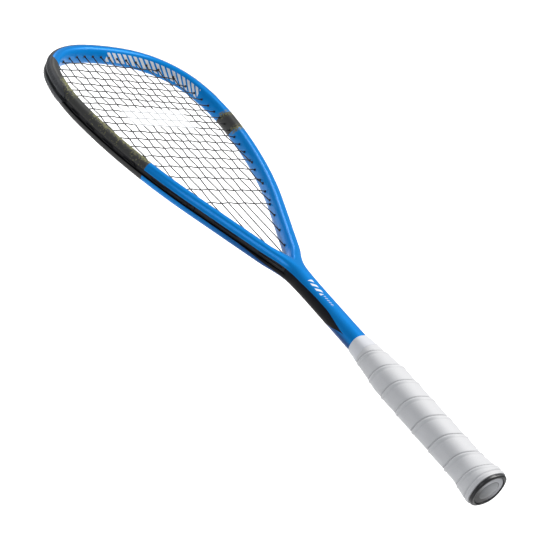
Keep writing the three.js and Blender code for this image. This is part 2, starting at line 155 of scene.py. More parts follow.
class Wires:
    """Places nodes in one tree and joins them."""

    def __init__(self, tree):
        self.tree = tree

    def node(self, kind, values=None, **settings):
        made = self.tree.nodes.new(kind)
        for name, value in settings.items():
            setattr(made, name, value)
        for socket, value in (values or {}).items():
            self.put(made.inputs[socket], value)
        return made

    def put(self, socket, value):
        if isinstance(value, bpy.types.NodeSocket):
            self.tree.links.new(value, socket)
        else:
            socket.default_value = value

    def math(self, operation, *values, clamp=False):
        made = self.node("ShaderNodeMath", dict(enumerate(values)), operation=operation, use_clamp=clamp)
        return made.outputs[0]

    def fold(self, operation, values):
        """One operation over any number of values, from the left."""
        return functools.reduce(lambda first, second: self.math(operation, first, second), values)

    def times(self, *values):
        return self.fold("MULTIPLY", values)

    def plus(self, *values):
        return self.fold("ADD", values)

    def most(self, *values):
        return self.fold("MAXIMUM", values)

    def mix(self, share, first, second):
        """Colour first where share is 0 and second where it is 1."""
        made = self.node("ShaderNodeMix", {0: share, 6: first, 7: second}, data_type="RGBA")
        return made.outputs[2]

    def blend(self, share, first, second):
        """Number first where share is 0 and second where it is 1."""
        return self.node("ShaderNodeMix", {0: share, 2: first, 3: second}).outputs[0]

    def rise(self, value, low, high):
        """0 below low, 1 above high, smooth between."""
        made = self.node("ShaderNodeMapRange", {0: value, 1: low, 2: high}, interpolation_type="SMOOTHSTEP")
        return made.outputs[0]

    def group(self, tree, values):
        made = self.node("ShaderNodeGroup", node_tree=tree)
        for socket, value in values.items():
            self.put(made.inputs[socket], value)
        return made.outputs

    def place_mm(self):
        """Object coordinates x, y and z in millimetres."""
        coordinates = self.node("ShaderNodeTexCoord").outputs["Object"]
        scaled = self.node("ShaderNodeVectorMath", {0: coordinates, "Scale": 1 / MM}, operation="SCALE")
        return self.node("ShaderNodeSeparateXYZ", {0: scaled.outputs[0]}).outputs


def new_group(name, kind, inputs, outputs):
    """An empty node group, its wires and its two ends. Sockets are given as label and kind."""
    tree = bpy.data.node_groups.new(name, kind)
    for way, sockets in (("INPUT", inputs), ("OUTPUT", outputs)):
        for label, socket in sockets.items():
            tree.interface.new_socket(label, in_out=way, socket_type="NodeSocket" + socket)
    given = tree.nodes.new("NodeGroupInput").outputs
    result = tree.nodes.new("NodeGroupOutput").inputs
    return tree, Wires(tree), given, result


def new_effect(name, inputs, outputs):
    """An empty shader group that takes and gives numbers."""
    return new_group(name, "ShaderNodeTree", dict.fromkeys(inputs, "Float"), dict.fromkeys(outputs, "Float"))


def new_material(name, colour, roughness, **fixed):
    """A material with a Principled shader. Fixed values are set on the shader's own sockets."""
    material = bpy.data.materials.new(name)
    material.use_nodes = True
    shader = material.node_tree.nodes["Principled BSDF"]
    shader.inputs["Base Color"].default_value = (*colour, 1)
    shader.inputs["Roughness"].default_value = roughness
    for label, value in fixed.items():
        shader.inputs[label.replace("_", " ")].default_value = value
    return material, Wires(material.node_tree), shader.inputs


# %% [markdown]
# Three effects are shared. Grain is the fine tooth that moulding or foam leaves. A soft band is
# 1 between two limits, and paint zones are cut out of bands. Slanted bars are the plain graphic
# that decorates the hoop and the shaft: they are a sawtooth of the distance along the tube.

# %% Shared effects
grain_group, wires, given, result = new_effect("surface_grain", ["Size", "Spread"], ["Height", "Cloud"])
coordinates = wires.node("ShaderNodeTexCoord").outputs["Object"]
for label, scale, detail in (("Height", "Size", 3.0), ("Cloud", "Spread", 2.0)):
    noise = wires.node("ShaderNodeTexNoise", {"Vector": coordinates, "Scale": given[scale], "Detail": detail})
    wires.put(result[label], noise.outputs[0])

band_group, wires, given, result = new_effect("soft_band", ["Value", "Low", "High", "Soft"], ["Mask"])
above, below = [
    wires.rise(given["Value"], wires.math("SUBTRACT", given[limit], given["Soft"]),
               wires.plus(given[limit], given["Soft"]))
    for limit in ("Low", "High")]
wires.put(result["Mask"], wires.math("SUBTRACT", above, below, clamp=True))

BAR_EDGE = 0.02
bars_group, wires, given, result = new_effect(
    "slanted_bars", ["Along", "Across", "Pitch", "Slant", "Width"], ["Mask"])
leaning = wires.plus(given["Along"], wires.times(given["Across"], given["Slant"]))
turn = wires.math("FRACT", wires.math("DIVIDE", leaning, given["Pitch"]))
wires.put(result["Mask"], wires.rise(wires.math("SUBTRACT", given["Width"], turn), -BAR_EDGE, BAR_EDGE))
print("shared effects:", [g.name for g in bpy.data.node_groups])


def band(wires, value, low, high, soft=0.25):
    """1 where value lies between low and high."""
    return wires.group(band_group, {"Value": value, "Low": low, "High": high, "Soft": soft})["Mask"]


def bars(wires, along, across, pitch, slant, width):
    """1 on slanted bars, one to each pitch, that cover a share of it."""
    return wires.group(bars_group, {
        "Along": along, "Across": across, "Pitch": pitch, "Slant": slant, "Width": width})["Mask"]


def grain(wires, size, spread):
    return wires.group(grain_group, {"Size": size, "Spread": spread})


def bump(wires, height, depth_mm, strength=1.0):
    made = wires.node("ShaderNodeBump", {"Height": height, "Distance": depth_mm * MM, "Strength": strength})
    return made.outputs["Normal"]


def two_tone(name, dark, light, rough, scales, tooth, mixed_by="Cloud", **fixed):
    """Two close colours mixed by a noise. rough is (least, added by the noise), scales are those of
    the fine and the wide noise, and tooth is (depth in mm, strength)."""
    material, wires, socket = new_material(name, light, sum(rough), **fixed)
    noise = grain(wires, *scales)
    wires.put(socket["Base Color"], wires.mix(noise[mixed_by], (*dark, 1), (*light, 1)))
    wires.put(socket["Roughness"], wires.plus(rough[0], wires.times(noise["Cloud"], rough[1])))
    wires.put(socket["Normal"], bump(wires, noise["Height"], *tooth))
    return material


# %% [markdown]
# The floor is matt and nearly white, with a very faint cloudiness so that it isn't a flat fill.

# %% Floor finish
floor_paint, wires, socket = new_material("floor_paint", (0.95, 0.95, 0.95), 0.9, Specular_IOR_Level=0.0)
cloud = grain(wires, 3.0, 0.6)["Cloud"]
wires.put(socket["Base Color"], wires.mix(cloud, (0.95, 0.95, 0.95, 1), (0.97, 0.97, 0.97, 1)))
floor_mesh.materials.append(floor_paint)

# %% [markdown]
# The frame of a racket is moulded round a bladder, so its tube has one rounded section all the
# way. Its centreline is a chain of arcs from the tip down each side and a straight leg into the
# shaft. Everything on the head is placed by the distance along that line, so the line is a
# function of distance, as it is in the engineering model.

# %% The hoop's centreline
GUARD_TOP = 7.8
TIP_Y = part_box("bumper_guard")[1].y / MM - GUARD_TOP
HOOP_ARCS = [(230, 5.5), (108, 15), (73, 55.5), (184, 20), (478, 19.5)]
ARCS_LENGTH = sum(radius * math.radians(turn) for radius, turn in HOOP_ARCS)
LEG_LENGTH = 122
HOOP_HALF = ARCS_LENGTH + LEG_LENGTH


def hoop_place(s, outward=0.0):
    """The point at signed distance s from the tip, moved outward, and its outward normal, in mm."""
    side = -1.0 if s < 0 else 1.0
    left, heading, x, y = abs(s), 0.0, 0.0, TIP_Y
    for radius, turn in HOOP_ARCS:
        following = heading + min(math.radians(turn), left / radius)
        x += radius * (math.sin(following) - math.sin(heading))
        y += radius * (math.cos(following) - math.cos(heading))
        left -= radius * (following - heading)
        heading = following
    normal = Vector((math.sin(heading), math.cos(heading), 0))
    point = Vector((x, y, 0)) + Vector((math.cos(heading), -math.sin(heading), 0)) * left + normal * outward
    return Vector((side * point.x, point.y, 0)), Vector((side * normal.x, normal.y, 0))


print("half of the hoop is", round(HOOP_HALF), "mm long")

# %% [markdown]
# Most pieces here are skins over rings of points: a tube swept along the hoop, a shaft, a grip.
# This helper turns rings into faces, keeps a UV map that follows the surface, and makes the
# mesh smooth except at its real edges.

# %% Meshes from rings
SHARP = math.radians(38)


def placed(name, mesh, sharp=SHARP):
    """An object from a raw mesh, cleaned and shaded."""
    mesh.validate()
    shaped = bmesh.new()
    shaped.from_mesh(mesh)
    bmesh.ops.remove_doubles(shaped, verts=shaped.verts, dist=1e-7)
    bmesh.ops.recalc_face_normals(shaped, faces=shaped.faces)
    shaped.to_mesh(mesh)
    shaped.free()
    mesh.shade_smooth()
    mesh.set_sharp_from_angle(angle=sharp)
    made = bpy.data.objects.new(name, mesh)
    scene.collection.objects.link(made)
    return made


def finished(name, points, faces, uvs=None, sharp=SHARP):
    """An object from points in mm. uvs holds one pair for each point."""
    mesh = bpy.data.meshes.new(name)
    mesh.from_pydata([Vector(p) * MM for p in points], [], faces)
    if uvs:
        layer = mesh.uv_layers.new(name="surface")
        for loop in mesh.loops:
            layer.uv[loop.index].vector = uvs[loop.vertex_index]
    return placed(name, mesh, sharp)


def flat(rings):
    """The items of all rings in one list."""
    return [item for one in rings for item in one]


def skin(rings):
    """Faces between neighbouring rings of equal length."""
    count = len(rings[0])
    faces = []
    for low in range(0, (len(rings) - 1) * count, count):
        for i in range(count):
            following = (i + 1) % count
            faces.append((low + i, low + following, low + count + following, low + count + i))
    return faces


def capped(rings):
    """Faces of a closed body: the skin and a face over each end."""
    count, last = len(rings[0]), (len(rings) - 1) * len(rings[0])
    return skin(rings) + [tuple(range(count))[::-1], tuple(range(last, last + count))]


def looped(rings):
    """Faces of a body whose last ring joins its first one."""
    total = len(rings) * len(rings[0])
    return [tuple(i % total for i in face) for face in skin([*rings, rings[0]])]


def squared(value, roundness):
    """A sine or cosine drawn towards 1, which makes a rounded oblong of an oval."""
    return math.copysign(abs(value) ** (2 / roundness), value)


def ring(y, half_width, half_depth, roundness, sides):
    """One rounded outline across the shaft axis."""
    angles = [2 * math.pi * i / sides for i in range(sides)]
    return [Vector((squared(math.cos(angle), roundness) * half_width, y,
                    squared(math.sin(angle), roundness) * half_depth)) for angle in angles]


def done(piece, material, slot, *nodes):
    """Gives a finished piece its material and its place in the racket."""
    if material:
        piece.data.materials.clear()
        piece.data.materials.append(material)
    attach(piece, "root")
    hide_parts(*nodes)
    piece.data.calc_loop_triangles()
    print(piece.name, len(piece.data.loop_triangles), "triangles")


# %% [markdown]
# The frame is one skin. Its section is a rounded oblong with a groove in the outer side for the
# strings. Down each leg the section turns little by little into half of the shaft's section, and
# its inner side closes onto the middle plane along a rounded line, which makes the throat.
# Half the racket is made and mirrored, because a real mould is symmetric too. A boolean join
# of two tubes would leave a hard crease at the throat, and a real lay-up has none.

# %% Section of the frame
TUBE_HALF_WIDTH = 6.2
TUBE_HALF_DEPTH = 10.3
TUBE_ROUNDNESS = 2.5
GROOVE_HALF_WIDTH = 3.0
GROOVE_FLOOR = 3.0
LIP_START = 3.35 / TUBE_HALF_DEPTH
QUARTER_STEPS = 14
GROOVE_LIP = [(5.98, 3.2), (5.84, 3.08), (5.6, 3.0), (3.3, 3.0), (3.08, 2.92), (3.0, 2.7), (3.0, 1.35)]


def bulge(share):
    """Half width of a rounded section at a share of its half depth, for a half width of 1."""
    return max(0.0, 1 - abs(share) ** TUBE_ROUNDNESS) ** (1 / TUBE_ROUNDNESS)


def frame_section():
    """Points [share of the half depth, outward with the groove cut, outward without it, inner side]."""
    upper = []
    first = math.asin(LIP_START ** (TUBE_ROUNDNESS / 2))
    for i in range(QUARTER_STEPS + 1):
        angle = math.pi / 2 + (first - math.pi / 2) * i / QUARTER_STEPS
        share = squared(math.sin(angle), TUBE_ROUNDNESS)
        outward = bulge(share) * TUBE_HALF_WIDTH
        upper.append((share, outward, outward, False))
    for outward, z in GROOVE_LIP:
        share = z / TUBE_HALF_DEPTH
        upper.append((share, outward, bulge(share) * TUBE_HALF_WIDTH, False))
    middle = [(0.0, GROOVE_FLOOR, TUBE_HALF_WIDTH, False)]
    lower = [(-share, cut, plain, False) for share, cut, plain, _ in reversed(upper)]
    inner = []
    for i in range(1, 2 * QUARTER_STEPS):
        angle = -math.pi / 2 + math.pi * i / (2 * QUARTER_STEPS)
        share = squared(math.sin(angle), TUBE_ROUNDNESS)
        outward = -bulge(share) * TUBE_HALF_WIDTH
        inner.append((share, outward, outward, True))
    return upper + middle + lower + inner


FRAME_SECTION = frame_section()
print("section points:", len(FRAME_SECTION))

# %% Rings of the right half
SHAFT_SECTIONS = [
    (5, 10, 9.7), (262, 10, 9.7), (276, 10.1, 10), (286, 10.6, 10.5), (297, 12, 10.5),
    (307, 12.8, 10.3), (330, 13, 10.3),
]
BLEND_START, BLEND_END = 324.0, 276.0
THROAT_ROUNDING = 6.0
THROAT_TOP = 307.5
THROAT_CLOSING = 19.0
GROOVE_FADE = (459.0, 467.0)
HOOP_STEP, THROAT_STEP = 2.4, 1.0
THROAT_REACH = 20.0
SHAFT_STEPS = 66


def smooth(low, high, value):
    share = min(1.0, max(0.0, (value - low) / (high - low)))
    return share * share * (3 - 2 * share)


def between(sections, y):
    """Half width and half depth at y from a list of (y, half width, half depth)."""
    y = min(max(y, sections[0][0]), sections[-1][0])
    for (y0, w0, d0), (y1, w1, d1) in zip(sections, sections[1:]):
        if y <= y1:
            share = (y - y0) / (y1 - y0)
            return w0 + (w1 - w0) * share, d0 + (d1 - d0) * share
    return sections[-1][1:]


def eased(sections, y, reach=3.0):
    """The same, averaged over a short reach so that the section list shows no corners."""
    near = [between(sections, y + reach * k / 3) for k in range(-3, 4)]
    return tuple(sum(pair[k] for pair in near) / len(near) for k in (0, 1))


def frame_ring(s, y_shaft=None):
    """The right half's ring at distance s, or at y_shaft on the shaft, and its UV pairs."""
    centre, normal = hoop_place(s)
    y_centre = centre.y if y_shaft is None else y_shaft
    into_shaft = 1 - smooth(BLEND_END, BLEND_START, y_centre)
    half_width, half_depth = eased(SHAFT_SECTIONS, y_centre)
    groove = 1 - smooth(*GROOVE_FADE, s)
    points, uvs = [], []
    for share, cut, plain, inner in FRAME_SECTION:
        outward = plain + (cut - plain) * groove
        leg = centre + normal * outward + Vector((0, 0, share * TUBE_HALF_DEPTH))
        shaft = Vector((0 if inner else bulge(share) * half_width, y_centre, share * half_depth))
        point = leg.lerp(shaft, into_shaft)
        if inner:
            end = THROAT_TOP - THROAT_ROUNDING * (1 - bulge(share))
            closing = min(1.0, max(0.0, (end + THROAT_CLOSING - point.y) / THROAT_CLOSING))
            point.x *= math.sqrt(1 - closing * closing)
        point.x = max(0.0, point.x)
        points.append(point)
        uvs.append((s * MM, outward * MM))
    return points, uvs


def frame_stations():
    """Distances along the hoop, closer together at the throat, then places down the shaft."""
    stations, s = [], 0.0
    while hoop_place(s)[0].y > BLEND_END:
        stations.append((s, None))
        s += HOOP_STEP if hoop_place(s)[0].y > BLEND_START + THROAT_REACH else THROAT_STEP
    for i in range(SHAFT_STEPS + 1):
        y = BLEND_END + (SHAFT_SECTIONS[0][0] - BLEND_END) * i / SHAFT_STEPS
        stations.append((s + BLEND_END - y, y))
    return stations


# %% Skin of the frame
ON_MIDDLE_PLANE = 1e-4


def frame_shell():
    """The right half and its mirror image. Faces that lie in the middle plane are left out."""
    made = [frame_ring(s, y) for s, y in frame_stations()]
    rings = [points for points, _ in made]
    right, right_uvs = flat(rings), flat(uvs for _, uvs in made)
    end = tuple(range(len(right) - len(rings[0]), len(right)))
    faces = [f for f in skin(rings) + [end] if any(right[i].x > ON_MIDDLE_PLANE for i in f)]
    faces += [tuple(i + len(right) for i in reversed(f)) for f in faces]
    left = [Vector((-p.x, p.y, p.z)) for p in right]
    left_uvs = [(-u, v) for u, v in right_uvs]
    return finished("frame_shell", right + left, faces, right_uvs + left_uvs, math.radians(50))


shell = frame_shell()
stray = bmesh.new()
stray.from_mesh(shell.data)
loose = [v for v in stray.verts if not v.link_faces]
bmesh.ops.delete(stray, geom=loose, context="VERTS")
print("open edges of the frame:", sum(len(e.link_faces) != 2 for e in stray.edges))
stray.to_mesh(shell.data)
stray.free()

# %% [markdown]
# The finish is azure lacquer over graphite, with a charcoal panel on the left shoulder, flecks
# of olive along it, a small dark patch on the right, pale slanted bars inside the head and on
# the shaft, and a black groove that runs out into a spear on the shaft. Under the shaft and the
# throat the azure is darkened to navy as painted shade. All of it, the painted shade too, is
# paint, so it is one material: masks from the distance along the hoop pick the colour.

# %% Frame paint
AZURE = (0.0, 0.25, 0.72, 1)
AZURE_DEEP = (0.0, 0.20, 0.61, 1)
# painted shade for the underside of the shaft and the throat
PAINTED_SHADE_NAVY = (0.0, 0.025, 0.13, 1)
CHARCOAL = (0.060, 0.060, 0.058, 1)
OLIVE = (0.19, 0.19, 0.095, 1)
INK = (0.006, 0.006, 0.008, 1)
PALE = (0.80, 0.82, 0.84, 1)
PANEL_ALONG, PANEL_TOP, PANEL_SLANT = (-288.0, -40.0), -97.0, -1.75
PATCH, PATCH_SLANT = (176.0, 206.0), -0.45
PATCH_FACE = (-20.0, 3.0, 0.4)
HEAD_STRIPES = {"pitch": 7.2, "slant": 0.95, "width": 0.6}
SHAFT_DASHES = {"pitch": 7.4, "slant": 0.9, "width": 0.5}
SHAFT_TICKS = {"pitch": 3.1, "slant": 0.6, "width": 0.45}
TICK_STRENGTH = 0.55
SPEAR = (203.0, 350.0)
SPEAR_LEVEL = 1.1

frame_paint, wires, socket = new_material(
    "lacquered_graphite", AZURE[:3], 0.3, Coat_Roughness=0.08, Specular_IOR_Level=0.1)
uv = wires.node("ShaderNodeUVMap", uv_map="surface").outputs[0]
uv_parts = wires.node("ShaderNodeSeparateXYZ", {0: uv}).outputs
along = wires.math("DIVIDE", uv_parts[0], MM)
outward = wires.math("DIVIDE", uv_parts[1], MM)
x, y, z = wires.place_mm()
flake = grain(wires, 2600.0, 45.0)
azure = wires.mix(wires.rise(flake["Height"], 0.35, 0.65), AZURE_DEEP, AZURE)

# charcoal panel on the left shoulder: its upper end is slanted across the tube
panel_end = wires.plus(along, wires.times(outward, PANEL_SLANT))
charcoal = wires.times(band(wires, panel_end, -400.0, PANEL_TOP, 0.8), band(wires, along, *PANEL_ALONG, 0.5))

# dark patch on the right, inner and upper faces only
patch_lean = wires.plus(along, wires.times(z, PATCH_SLANT))
patch = wires.times(band(wires, patch_lean, *PATCH, 0.6), band(wires, outward, *PATCH_FACE))

# flecks: a noise cut at two heights, kept to the upper inner edge
flecks = wires.node("ShaderNodeTexNoise", {
    "Vector": wires.node("ShaderNodeTexCoord").outputs["Object"],
    "Scale": 560.0, "Detail": 2.0, "Roughness": 0.6}).outputs[0]
fleck_zone = wires.most(band(wires, along, -172.0, -136.0, 4.0), band(wires, along, -292.0, -200.0, 6.0))
inner_edge = wires.times(wires.rise(z, -1.0, 4.0), wires.rise(outward, 5.4, -1.0))
scatter = wires.plus(flecks, wires.times(inner_edge, 0.2))
left_flecks = wires.times(fleck_zone, wires.rise(z, 1.0, 4.0), wires.rise(scatter, 0.60, 0.65))
fringe_outer = band(wires, patch_lean, PATCH[0] - 4, PATCH[1] + 5, 1.5)
fringe_inner = band(wires, patch_lean, PATCH[0] + 5, PATCH[1] - 5, 3.0)
fringe = wires.math("SUBTRACT", fringe_outer, fringe_inner, clamp=True)
right_flecks = wires.times(
    fringe, wires.rise(z, -4.0, 2.0), wires.rise(flecks, 0.46, 0.50), band(wires, outward, *PATCH_FACE))
olive = wires.most(wires.times(left_flecks, charcoal), right_flecks)

# pale slanted stripes inside the head, right of the tip
hoop_bars = wires.times(
    band(wires, along, 2.0, 132.0, 0.3), band(wires, z, -4.4, 6.8, 0.3), wires.rise(outward, 0.0, -0.5),
    bars(wires, along, z, **HEAD_STRIPES))

# pale dashes and fainter ticks on the shaft's upper face
upper_face = wires.rise(z, 5.0, 6.0)
dashes = wires.times(
    band(wires, y, 250.0, 272.0, 0.2), band(wires, x, -5.9, -1.2, 0.2), upper_face,
    bars(wires, y, x, **SHAFT_DASHES))
ticks = wires.times(
    band(wires, y, 233.0, 248.0, 0.2), band(wires, x, -4.4, -2.2, 0.2), upper_face,
    bars(wires, y, x, **SHAFT_TICKS))
shaft_bars = wires.math("ADD", dashes, wires.times(ticks, TICK_STRENGTH), clamp=True)
pale = wires.most(hoop_bars, shaft_bars)

# black groove, and the spear that carries it down the shaft
groove = wires.times(
    band(wires, z, -3.06, 3.06, 0.05), wires.rise(outward, 2.5, 2.6),
    band(wires, wires.math("ABSOLUTE", along), -1.0, 480.0, 3.0))
spear_opens = wires.rise(y, 200.0, 236.0)
narrowing = wires.times(0.5, wires.rise(y, 245.0, 300.0))
spear_top = wires.plus(SPEAR_LEVEL, wires.times(4.0, wires.math("SUBTRACT", spear_opens, narrowing)))
spear_depth = wires.plus(wires.times(-9.4, spear_opens), wires.times(5.3, wires.rise(y, 285.0, 350.0)))
spear = wires.times(
    wires.math("LESS_THAN", z, spear_top),
    wires.math("GREATER_THAN", z, wires.plus(SPEAR_LEVEL, spear_depth)),
    band(wires, y, *SPEAR, 0.2), wires.rise(outward, 0.5, 1.0))
black = wires.most(groove, spear)

# painted shade: the underside of the shaft and the throat is darkened from azure to navy
under = wires.times(wires.rise(z, 2.0, -3.5), wires.math("SUBTRACT", 1.0, wires.rise(y, 300.0, 440.0)))

colour = wires.mix(wires.times(under, 0.85), azure, PAINTED_SHADE_NAVY)
for mask, paint in ((charcoal, CHARCOAL), (patch, CHARCOAL), (olive, OLIVE), (pale, PALE), (black, INK)):
    colour = wires.mix(mask, colour, paint)
wires.put(socket["Base Color"], colour)
dark = wires.most(charcoal, patch, black, pale)
matt = wires.most(dark, wires.times(0.8, wires.rise(outward, -1.0, -4.0)))
wires.put(socket["Metallic"], wires.times(0.35, wires.math("SUBTRACT", 1.0, matt)))
wires.put(socket["Roughness"], wires.plus(wires.blend(dark, 0.34, 0.46), wires.times(flake["Cloud"], 0.06)))
wires.put(socket["Coat Weight"], wires.blend(matt, 0.18, 0.03))
wires.put(socket["Normal"], bump(wires, flake["Height"], 0.01, 0.5))
done(shell, frame_paint, "frame_paint", "frame")

# %% [markdown]
# One string makes the seven pairs of mains and another makes the crosses. Each run goes over
# and under the runs it meets, leaves the head through a grommet, turns along the outer groove
# and comes back in through the next grommet. The route is worked out like a stringer would:
# where each run meets the hoop, how it bends into its grommet, and where it turns back.

# %% The string pattern
MAINS_PER_SIDE = 7
CROSSES = 18
HEAD_MIDDLE = 560.0
STRING_RADIUS = 0.6
STRING_LEVEL = 0.75
WEAVE = 0.5
BEND = -7.8
LOOP = 4.9
LOOP_LEAD = 0.9
LOOP_STEP = 4.0
WEAVE_STEPS = 4
KNOT_TAIL = 3.0


MAIN_FIRST, MAIN_PITCH, MAIN_SPREAD = 5.3, 11.1, 0.13
CROSS_FIRST, CROSS_PITCH, CROSS_SPREAD, CROSS_CLOSEST = 655.3, 11.84, 0.097, 5.66


def main_x(i):
    return MAIN_FIRST + MAIN_PITCH * i + MAIN_SPREAD * i * i


@functools.cache
def cross_y(row):
    if row == 0:
        return CROSS_FIRST
    return cross_y(row - 1) - CROSS_PITCH - CROSS_SPREAD * (row - 1 - CROSS_CLOSEST) ** 2


@functools.cache
def hoop_line(outward):
    return [hoop_place(s, outward)[0] for s in range(int(HOOP_HALF) + 1)]


def meet(start, direction, outward):
    """Distance along the right half at which a ray crosses the hoop line moved outward."""
    previous = None
    for s, point in enumerate(hoop_line(outward)):
        gap = point - start
        across = gap.x * direction.y - gap.y * direction.x
        if gap.dot(direction) <= 0:
            previous = None
            continue
        if previous is not None and (across > 0) != (previous > 0):
            return s - across / (across - previous)
        previous = across
    raise ValueError("a string misses the hoop")


@functools.cache
def string_end(start, direction, level, side):
    """Where a run on the right half meets the hoop: its bend, grommet axis and length, and distance."""
    start, direction = Vector(start), Vector(direction)
    bend, normal = hoop_place(meet(start, direction, BEND), BEND)
    axis = (direction + normal).normalized()
    away = meet(bend, axis, LOOP)
    flip = Vector((side, 1, 1))
    lift = Vector((0, 0, level))
    return {"s": side * away, "level": level, "bend": bend * flip + lift, "axis": axis * flip,
            "length": (hoop_place(away, LOOP)[0] - bend).length, "normal": normal * flip}


def main_end(i, side, up):
    return string_end((main_x(i), HEAD_MIDDLE, 0), (0, up, 0), STRING_LEVEL, side)


def cross_end(row, side):
    return string_end((0, cross_y(row), 0), (1, 0, 0), -STRING_LEVEL, side)


def out_of(end, distance):
    return end["bend"] + end["axis"] * distance


def in_groove(s, level):
    return hoop_place(s, LOOP)[0] + Vector((0, 0, level))


def loop_between(first, last):
    """Points from one bend out through the groove and back in to the next bend."""
    way = math.copysign(1.0, last["s"] - first["s"])
    start, stop = first["s"] + way * LOOP_LEAD, last["s"] - way * LOOP_LEAD
    steps = max(1, math.ceil(abs(stop - start) / LOOP_STEP))
    turn = [in_groove(start + (stop - start) * k / steps, first["level"]) for k in range(steps + 1)]
    return [out_of(first, first["length"] - LOOP_LEAD), *turn, out_of(last, last["length"] - LOOP_LEAD)]


def tail_of(end, way):
    turn = [in_groove(end["s"] + way * d, end["level"]) for d in (LOOP_LEAD, KNOT_TAIL)]
    return [out_of(end, end["length"] - LOOP_LEAD), *turn]


def woven(first, last, crossings):
    """A run from bend to bend that passes its crossings at the given heights."""
    knots = [first["bend"], *crossings, last["bend"]]
    points = []
    for a, b in zip(knots, knots[1:]):
        for k in range(WEAVE_STEPS):
            share = k / WEAVE_STEPS
            point = a.lerp(b, share)
            point.z = a.z + (b.z - a.z) * (1 - math.cos(math.pi * share)) / 2
            points.append(point)
    return points + [last["bend"]]


def over(column, row):
    """Height of the mains at a crossing: over and under in turn. The crosses take the opposite."""
    return WEAVE if (column + row) % 2 == 0 else -WEAVE


def half_mains(side):
    points = []
    for i in range(MAINS_PER_SIDE):
        up = 1 if i % 2 == 0 else -1
        first, last = main_end(i, side, up), main_end(i, side, -up)
        column = MAINS_PER_SIDE + i if side > 0 else MAINS_PER_SIDE - 1 - i
        low, high = sorted((first["bend"].y, last["bend"].y))
        rows = [row for row in range(CROSSES) if low + 1 < cross_y(row) < high - 1]
        rows = rows if up > 0 else rows[::-1]
        points += woven(first, last, [Vector((side * main_x(i), cross_y(r), over(column, r))) for r in rows])
        if i < MAINS_PER_SIDE - 1:
            points += loop_between(last, main_end(i + 1, side, -up))
    return points + tail_of(main_end(MAINS_PER_SIDE - 1, side, -1), -side)


def mains_route():
    bridge = loop_between(main_end(0, -1, 1), main_end(0, 1, 1))
    return half_mains(-1)[::-1] + bridge + half_mains(1)


def crosses_route():
    columns = [(side * main_x(i), MAINS_PER_SIDE + i if side > 0 else MAINS_PER_SIDE - 1 - i)
               for side in (-1, 1) for i in range(MAINS_PER_SIDE)]
    points, side = tail_of(cross_end(0, -1), 1)[::-1], -1
    for row in range(CROSSES):
        first, last = cross_end(row, side), cross_end(row, -side)
        reach = abs(first["bend"].x) - 1
        met = sorted((x, c) for x, c in columns if abs(x) < reach)
        met = met if side < 0 else met[::-1]
        points += woven(first, last, [Vector((x, cross_y(row), -over(c, row))) for x, c in met])
        side = -side
        if row < CROSSES - 1:
            points += loop_between(last, cross_end(row + 1, side))
    return points + tail_of(cross_end(CROSSES - 1, side), -side)


def route_length(points):
    return sum((b - a).length for a, b in zip(points, points[1:])) * MM


routes = {"mains": mains_route(), "crosses": crosses_route()}
for name, route in routes.items():
    print(name, len(route), "points,", round(route_length(route), 2), "m of string")

# %% [markdown]
# Geometry Nodes turn each route into a tube. The route is a chain of edges, the tree makes it
# a curve, sweeps a circle of the string's radius along it and gives it a material. The radius
# stays an input, so that a thicker string is one number. This helper runs such a tree and
# keeps the result as a plain mesh.

# %% Running a node tree on a piece


def growth_tree(name, inputs):
    """An empty Geometry Nodes tree with its first geometry input and named inputs."""
    return new_group(name, "GeometryNodeTree", {"Geometry": "Geometry", **inputs}, {"Geometry": "Geometry"})


def grow(name, seed, tree, values):
    """The tree's result on a seed mesh, as a new plain object. The seed is removed."""
    modifier = seed.modifiers.new("growth", "NODES")
    modifier.node_group = tree
    for item in tree.interface.items_tree:
        if item.in_out == "INPUT" and item.name in values:
            modifier[item.identifier] = values[item.name]
    scene.collection.objects.link(seed)
    graph = bpy.context.evaluated_depsgraph_get()
    mesh = bpy.data.meshes.new_from_object(seed.evaluated_get(graph), depsgraph=graph)
    seed.modifiers.remove(modifier)
    bpy.data.objects.remove(seed)
    return placed(name, mesh)


def chain(points):
    """A seed object: points in mm joined by edges."""
    mesh = bpy.data.meshes.new("chain")
    mesh.from_pydata([p * MM for p in points], [(i, i + 1) for i in range(len(points) - 1)], [])
    return bpy.data.objects.new("chain", mesh)


def finish_tree(wires, geometry, material, result):
    """Every tree ends the same way: real geometry, then its material."""
    real = wires.node("GeometryNodeRealizeInstances", {0: geometry}).outputs[0]
    painted = wires.node("GeometryNodeSetMaterial", {"Geometry": real, "Material": material}).outputs[0]
    wires.put(result[0], painted)


def mesh_of(wires, held):
    return wires.node("GeometryNodeObjectInfo", {"Object": held}).outputs["Geometry"]


def facing_along(wires, direction, axis):
    """A rotation that turns an axis to a direction, about the upright."""
    return wires.node("FunctionNodeAlignRotationToVector", {"Vector": direction}, axis=axis,
                      pivot_axis="Z").outputs[0]


def joined(wires, *parts):
    """Parts as one geometry, the first of them first."""
    join = wires.node("GeometryNodeJoinGeometry")
    for part in parts:
        wires.put(join.inputs[0], part)
    return join.outputs[0]


string_tree, wires, given, result = growth_tree(
    "string_tube", {"Radius": "Float", "Sides": "Int", "Material": "Material"})
curve = wires.node("GeometryNodeMeshToCurve", {0: given["Geometry"]}).outputs[0]
circle = wires.node("GeometryNodeCurvePrimitiveCircle", {
    "Resolution": given["Sides"], "Radius": given["Radius"]}).outputs[0]
tube = wires.node("GeometryNodeCurveToMesh", {
    "Curve": curve, "Profile Curve": circle, "Fill Caps": True}).outputs[0]
finish_tree(wires, tube, given["Material"], result)
print("string tree:", len(string_tree.nodes), "nodes")

# %% [markdown]
# The strings are black multifilament with a slightly waxy skin. White ink marks the middle of
# the bed with one plain oblong. The ink is a mask on the place of each point, so it falls only
# on the strings, as ink through a stencil does.

